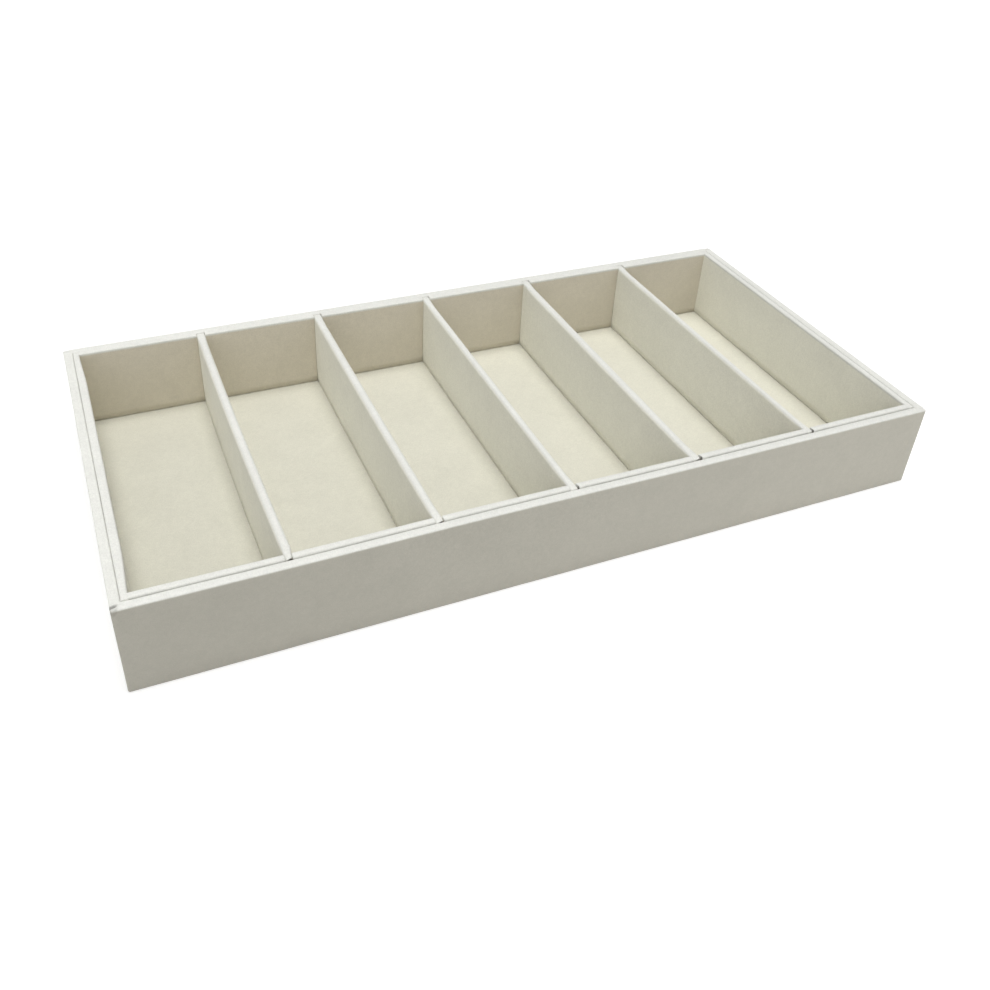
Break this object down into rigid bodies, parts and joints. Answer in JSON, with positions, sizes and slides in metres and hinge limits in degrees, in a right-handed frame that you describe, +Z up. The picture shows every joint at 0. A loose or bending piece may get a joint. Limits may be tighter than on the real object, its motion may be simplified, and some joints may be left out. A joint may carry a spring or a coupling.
{
  "type": "eyewear display tray",
  "caption": "Shallow suede-covered display tray for eyewear, with long side-by-side compartments parted by covered dividers that lift out of slots in the liner.",
  "frame": {"origin": "the middle of the underside, on the surface that the tray rests on", "axes": "+X runs along the tray's long side, to the right as seen from the front; +Y runs from the front to the back; +Z is up, out of the open top"},
  "size_m": [0.4, 0.2, 0.0464],
  "materials": {
    "case_suede": "microfibre suede, off-white",
    "liner_suede": "microfibre suede, off-white",
    "divider_suede": "microfibre suede, off-white",
    "floor_suede": "microfibre suede, cream",
    "fibreboard": "raw medium-density fibreboard",
    "greyboard": "raw greyboard",
    "lining": "thin felt lining"
  },
  "bodies": {
    "tray": {"underside_lining": "lining", "base_board": "fibreboard", "front_wall": "fibreboard", "back_wall": "fibreboard", "left_wall": "fibreboard", "right_wall": "fibreboard", "case_cover": "case_suede", "floor_cover": "floor_suede", "left_liner_board": "greyboard", "left_liner_cover": "liner_suede", "right_liner_board": "greyboard", "right_liner_cover": "liner_suede", "front_liner_1_board": "greyboard", "front_liner_1_cover": "liner_suede", "front_liner_2_board": "greyboard", "front_liner_2_cover": "liner_suede", "front_liner_3_board": "greyboard", "front_liner_3_cover": "liner_suede", "front_liner_4_board": "greyboard", "front_liner_4_cover": "liner_suede", "front_liner_5_board": "greyboard", "front_liner_5_cover": "liner_suede", "front_liner_6_board": "greyboard", "front_liner_6_cover": "liner_suede", "back_liner_1_board": "greyboard", "back_liner_1_cover": "liner_suede", "back_liner_2_board": "greyboard", "back_liner_2_cover": "liner_suede", "back_liner_3_board": "greyboard", "back_liner_3_cover": "liner_suede", "back_liner_4_board": "greyboard", "back_liner_4_cover": "liner_suede", "back_liner_5_board": "greyboard", "back_liner_5_cover": "liner_suede", "back_liner_6_board": "greyboard", "back_liner_6_cover": "liner_suede"},
    "divider_1": {"divider_1_board": "greyboard", "divider_1_cover": "divider_suede"},
    "divider_2": {"divider_2_board": "greyboard", "divider_2_cover": "divider_suede"},
    "divider_3": {"divider_3_board": "greyboard", "divider_3_cover": "divider_suede"},
    "divider_4": {"divider_4_board": "greyboard", "divider_4_cover": "divider_suede"},
    "divider_5": {"divider_5_board": "greyboard", "divider_5_cover": "divider_suede"}
  },
  "joints": [
    {"name": "divider_1_lift", "type": "slide", "parent": "tray", "child": "divider_1", "axis": [0, 0, 1], "range_m": [0, 0.045]},
    {"name": "divider_2_lift", "type": "slide", "parent": "tray", "child": "divider_2", "axis": [0, 0, 1], "range_m": [0, 0.045]},
    {"name": "divider_3_lift", "type": "slide", "parent": "tray", "child": "divider_3", "axis": [0, 0, 1], "range_m": [0, 0.045]},
    {"name": "divider_4_lift", "type": "slide", "parent": "tray", "child": "divider_4", "axis": [0, 0, 1], "range_m": [0, 0.045]},
    {"name": "divider_5_lift", "type": "slide", "parent": "tray", "child": "divider_5", "axis": [0, 0, 1], "range_m": [0, 0.045]}
  ]
}
